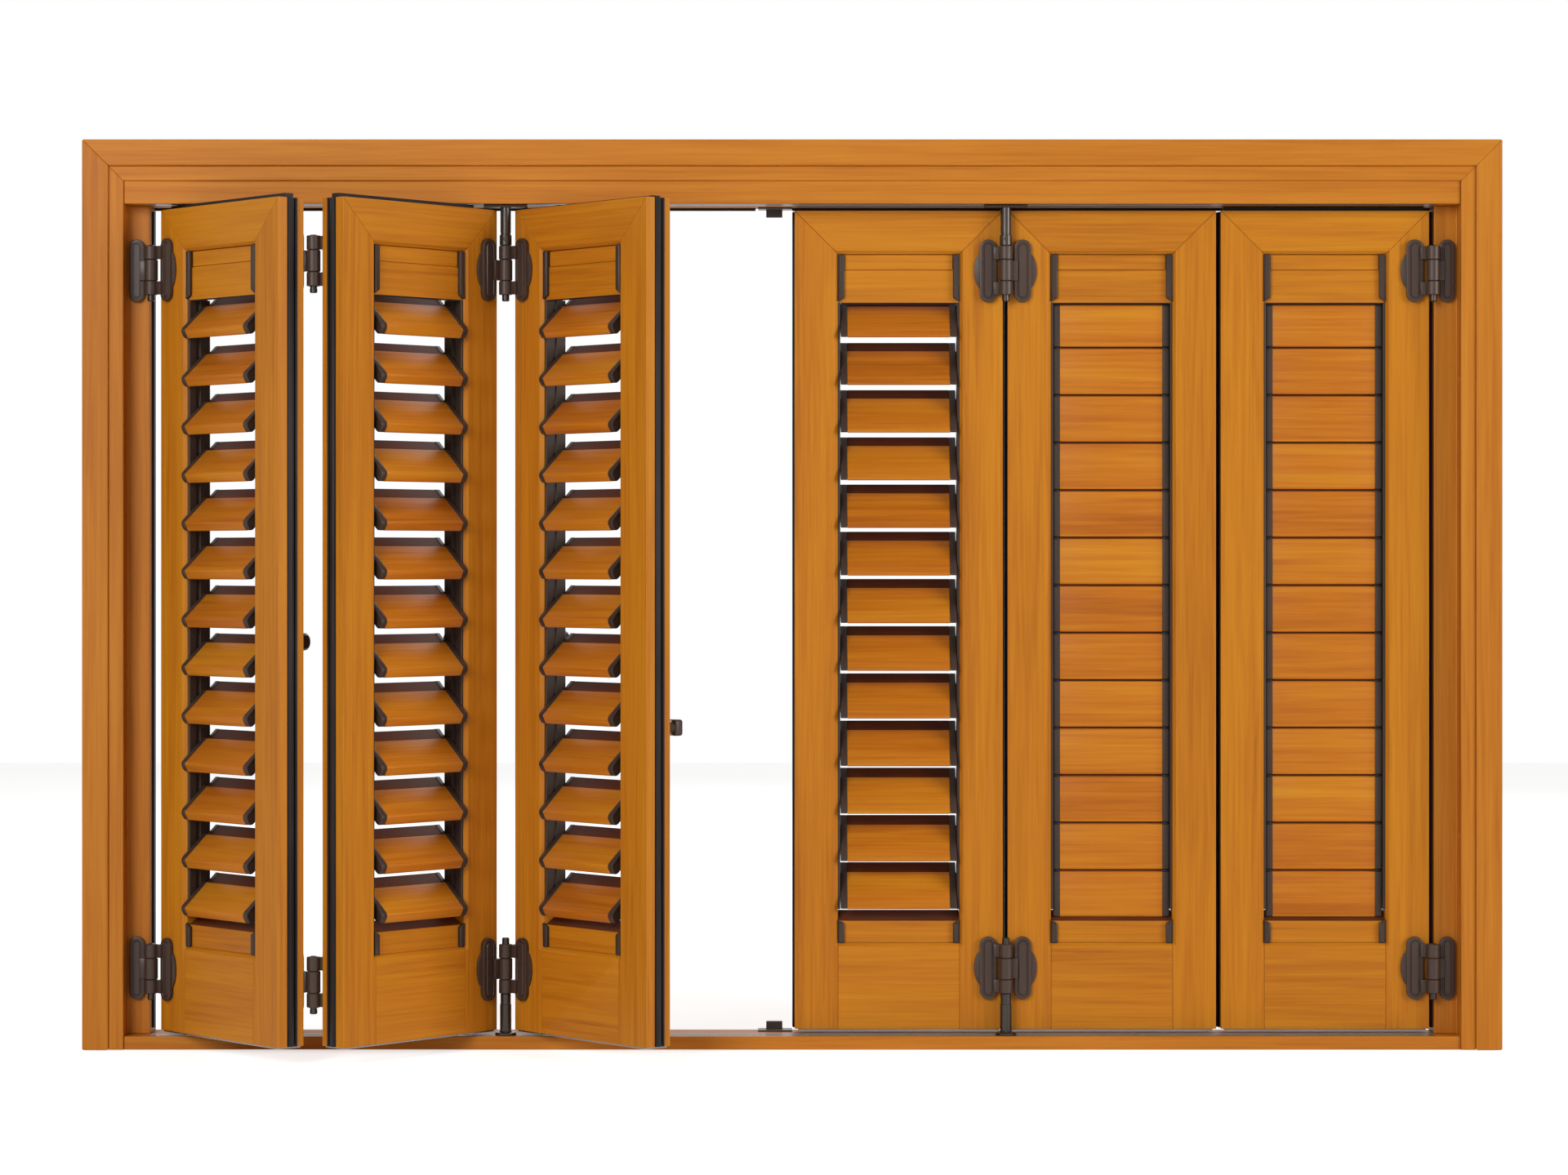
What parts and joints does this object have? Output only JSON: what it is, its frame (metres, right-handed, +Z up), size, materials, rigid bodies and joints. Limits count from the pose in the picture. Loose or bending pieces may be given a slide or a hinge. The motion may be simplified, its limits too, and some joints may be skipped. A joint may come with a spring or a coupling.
{
  "type": "folding louvred shutter",
  "caption": "Folding louvred window shutter in a wood frame: hinged leaves with tilting slats, half folded on one side and closed on the other, guided by sliders in a head track.",
  "frame": {"origin": "middle of the underside of the threshold, in the plane of the closed leaves' front faces", "axes": "+X to the right seen from outside, +Y into the room, +Z up"},
  "size_m": [1.728, 0.2568, 1.108],
  "materials": {
    "frame_wood": "satin lacquer",
    "leaf_wood": "satin lacquer",
    "slat_wood": "satin lacquer",
    "brown_metal": "satin powder coat",
    "brown_plastic": "moulded satin",
    "seal_rubber": "extruded matt",
    "track_metal": "mill"
  },
  "bodies": {
    "frame": {"head_frame": "frame_wood", "left_jamb": "frame_wood", "right_jamb": "frame_wood", "threshold": "frame_wood", "cover_casing": "frame_wood", "head_track": "track_metal", "floor_track": "track_metal", "frame_gaskets": "seal_rubber", "bolt_keepers": "brown_metal", "jamb_hinge_plates": "brown_metal", "jamb_hinge_pins": "brown_metal"},
    "leaf_a": {"leaf_a_frame": "leaf_wood", "leaf_a_gaskets": "seal_rubber", "leaf_a_hinge_plates": "brown_metal", "leaf_a_slats": "slat_wood", "leaf_a_slat_fittings": "brown_plastic"},
    "leaf_b": {"leaf_b_frame": "leaf_wood", "leaf_b_gaskets": "seal_rubber", "leaf_b_hinge_plates": "brown_metal", "leaf_b_slats": "slat_wood", "leaf_b_slat_fittings": "brown_plastic"},
    "leaf_c": {"leaf_c_frame": "leaf_wood", "leaf_c_gaskets": "seal_rubber", "leaf_c_hinge_plates": "brown_metal", "leaf_c_slats": "slat_wood", "leaf_c_slat_fittings": "brown_plastic", "handle_base": "brown_metal"},
    "leaf_d": {"leaf_d_frame": "leaf_wood", "leaf_d_gaskets": "seal_rubber", "leaf_d_hinge_plates": "brown_metal", "leaf_d_slat_carriers": "brown_plastic"},
    "leaf_e": {"leaf_e_frame": "leaf_wood", "leaf_e_gaskets": "seal_rubber", "leaf_e_hinge_plates": "brown_metal", "leaf_e_slats": "slat_wood", "leaf_e_slat_fittings": "brown_plastic"},
    "leaf_f": {"leaf_f_frame": "leaf_wood", "leaf_f_gaskets": "seal_rubber", "leaf_f_hinge_plates": "brown_metal", "leaf_f_slats": "slat_wood", "leaf_f_slat_fittings": "brown_plastic"},
    "leaf_d_slat_01": {"leaf_d_slat_01": "slat_wood"},
    "leaf_d_slat_02": {"leaf_d_slat_02": "slat_wood"},
    "leaf_d_slat_03": {"leaf_d_slat_03": "slat_wood"},
    "leaf_d_slat_04": {"leaf_d_slat_04": "slat_wood"},
    "leaf_d_slat_05": {"leaf_d_slat_05": "slat_wood"},
    "leaf_d_slat_06": {"leaf_d_slat_06": "slat_wood"},
    "leaf_d_slat_07": {"leaf_d_slat_07": "slat_wood"},
    "leaf_d_slat_08": {"leaf_d_slat_08": "slat_wood"},
    "leaf_d_slat_09": {"leaf_d_slat_09": "slat_wood"},
    "leaf_d_slat_10": {"leaf_d_slat_10": "slat_wood"},
    "leaf_d_slat_11": {"leaf_d_slat_11": "slat_wood"},
    "leaf_d_slat_12": {"leaf_d_slat_12": "slat_wood"},
    "leaf_d_slat_13": {"leaf_d_slat_13": "slat_wood"},
    "leaf_d_tilt_knob": {"leaf_d_tilt_knob": "brown_plastic"},
    "left_carrier": {"left_carrier": "brown_metal"},
    "right_carrier": {"right_carrier": "brown_metal"},
    "handle_grip": {"handle_grip": "brown_metal"}
  },
  "joints": [
    {"name": "left_fold", "type": "hinge", "parent": "frame", "child": "leaf_a", "pos_m": [-0.783, -0.012, 0.5], "axis": [0, 0, 1], "range_deg": [-36, 49]},
    {"name": "left_back_hinge", "type": "hinge", "parent": "leaf_a", "child": "leaf_b", "pos_m": [-0.56649, -0.16962, 0.5], "axis": [0, 0, 1], "range_deg": [-98, 72]},
    {"name": "left_leaf_swing", "type": "hinge", "parent": "leaf_b", "child": "leaf_c", "pos_m": [-0.34997, -0.012, 0.5], "axis": [0, 0, 1], "range_deg": [-70, 98]},
    {"name": "left_carrier_pivot", "type": "hinge", "parent": "leaf_b", "child": "left_carrier", "pos_m": [-0.34997, -0.012, 0.5], "axis": [0, 0, 1], "range_deg": [-36, 49]},
    {"name": "right_fold", "type": "hinge", "parent": "frame", "child": "leaf_f", "pos_m": [0.783, -0.012, 0.5], "axis": [0, 0, 1], "range_deg": [0, 85]},
    {"name": "right_back_hinge", "type": "hinge", "parent": "leaf_f", "child": "leaf_e", "pos_m": [0.522, 0.048, 0.5], "axis": [0, 0, 1], "range_deg": [-170, 0]},
    {"name": "right_leaf_swing", "type": "hinge", "parent": "leaf_e", "child": "leaf_d", "pos_m": [0.261, -0.012, 0.5], "axis": [0, 0, 1], "range_deg": [0, 168]},
    {"name": "right_carrier_pivot", "type": "hinge", "parent": "leaf_e", "child": "right_carrier", "pos_m": [0.261, -0.012, 0.5], "axis": [0, 0, 1], "range_deg": [0, 85]},
    {"name": "handle_turn", "type": "hinge", "parent": "leaf_c", "child": "handle_grip", "pos_m": [-0.16187, -0.15522, 0.39675], "axis": [0.7547, 0.6561, 0], "range_deg": [-90, 0]},
    {"name": "slat_tilt_01", "type": "hinge", "parent": "leaf_d", "child": "leaf_d_slat_01", "pos_m": [0.1305, 0.018, 0.19015], "axis": [1, 0, 0], "range_deg": [-38, 39]},
    {"name": "slat_tilt_02", "type": "hinge", "parent": "leaf_d", "child": "leaf_d_slat_02", "pos_m": [0.1305, 0.018, 0.24846], "axis": [1, 0, 0], "range_deg": [-38, 39]},
    {"name": "slat_tilt_03", "type": "hinge", "parent": "leaf_d", "child": "leaf_d_slat_03", "pos_m": [0.1305, 0.018, 0.30677], "axis": [1, 0, 0], "range_deg": [-38, 39]},
    {"name": "slat_tilt_04", "type": "hinge", "parent": "leaf_d", "child": "leaf_d_slat_04", "pos_m": [0.1305, 0.018, 0.36508], "axis": [1, 0, 0], "range_deg": [-38, 39]},
    {"name": "slat_tilt_05", "type": "hinge", "parent": "leaf_d", "child": "leaf_d_slat_05", "pos_m": [0.1305, 0.018, 0.42339], "axis": [1, 0, 0], "range_deg": [-38, 39]},
    {"name": "slat_tilt_06", "type": "hinge", "parent": "leaf_d", "child": "leaf_d_slat_06", "pos_m": [0.1305, 0.018, 0.48169], "axis": [1, 0, 0], "range_deg": [-38, 39]},
    {"name": "slat_tilt_07", "type": "hinge", "parent": "leaf_d", "child": "leaf_d_slat_07", "pos_m": [0.1305, 0.018, 0.54], "axis": [1, 0, 0], "range_deg": [-38, 39]},
    {"name": "slat_tilt_08", "type": "hinge", "parent": "leaf_d", "child": "leaf_d_slat_08", "pos_m": [0.1305, 0.018, 0.59831], "axis": [1, 0, 0], "range_deg": [-38, 39]},
    {"name": "slat_tilt_09", "type": "hinge", "parent": "leaf_d", "child": "leaf_d_slat_09", "pos_m": [0.1305, 0.018, 0.65661], "axis": [1, 0, 0], "range_deg": [-38, 39]},
    {"name": "slat_tilt_10", "type": "hinge", "parent": "leaf_d", "child": "leaf_d_slat_10", "pos_m": [0.1305, 0.018, 0.71492], "axis": [1, 0, 0], "range_deg": [-38, 39]},
    {"name": "slat_tilt_11", "type": "hinge", "parent": "leaf_d", "child": "leaf_d_slat_11", "pos_m": [0.1305, 0.018, 0.77323], "axis": [1, 0, 0], "range_deg": [-38, 39]},
    {"name": "slat_tilt_12", "type": "hinge", "parent": "leaf_d", "child": "leaf_d_slat_12", "pos_m": [0.1305, 0.018, 0.83154], "axis": [1, 0, 0], "range_deg": [-38, 39]},
    {"name": "slat_tilt_13", "type": "hinge", "parent": "leaf_d", "child": "leaf_d_slat_13", "pos_m": [0.1305, 0.018, 0.88985], "axis": [1, 0, 0], "range_deg": [-38, 39]},
    {"name": "tilt_knob_turn", "type": "hinge", "parent": "leaf_d", "child": "leaf_d_tilt_knob", "pos_m": [0.2315, 0.036, 0.49895], "axis": [0, 1, 0], "range_deg": [-38, 39]}
  ],
  "couplings": [
    {"joint": "left_back_hinge", "follows": "left_fold", "ratio": -2},
    {"joint": "left_carrier_pivot", "follows": "left_fold", "ratio": 1},
    {"joint": "right_back_hinge", "follows": "right_fold", "ratio": -2},
    {"joint": "right_carrier_pivot", "follows": "right_fold", "ratio": 1},
    {"joint": "slat_tilt_02", "follows": "slat_tilt_01", "ratio": 1},
    {"joint": "slat_tilt_03", "follows": "slat_tilt_01", "ratio": 1},
    {"joint": "slat_tilt_04", "follows": "slat_tilt_01", "ratio": 1},
    {"joint": "slat_tilt_05", "follows": "slat_tilt_01", "ratio": 1},
    {"joint": "slat_tilt_06", "follows": "slat_tilt_01", "ratio": 1},
    {"joint": "slat_tilt_07", "follows": "slat_tilt_01", "ratio": 1},
    {"joint": "slat_tilt_08", "follows": "slat_tilt_01", "ratio": 1},
    {"joint": "slat_tilt_09", "follows": "slat_tilt_01", "ratio": 1},
    {"joint": "slat_tilt_10", "follows": "slat_tilt_01", "ratio": 1},
    {"joint": "slat_tilt_11", "follows": "slat_tilt_01", "ratio": 1},
    {"joint": "slat_tilt_12", "follows": "slat_tilt_01", "ratio": 1},
    {"joint": "slat_tilt_13", "follows": "slat_tilt_01", "ratio": 1},
    {"joint": "tilt_knob_turn", "follows": "slat_tilt_01", "ratio": 1}
  ]
}
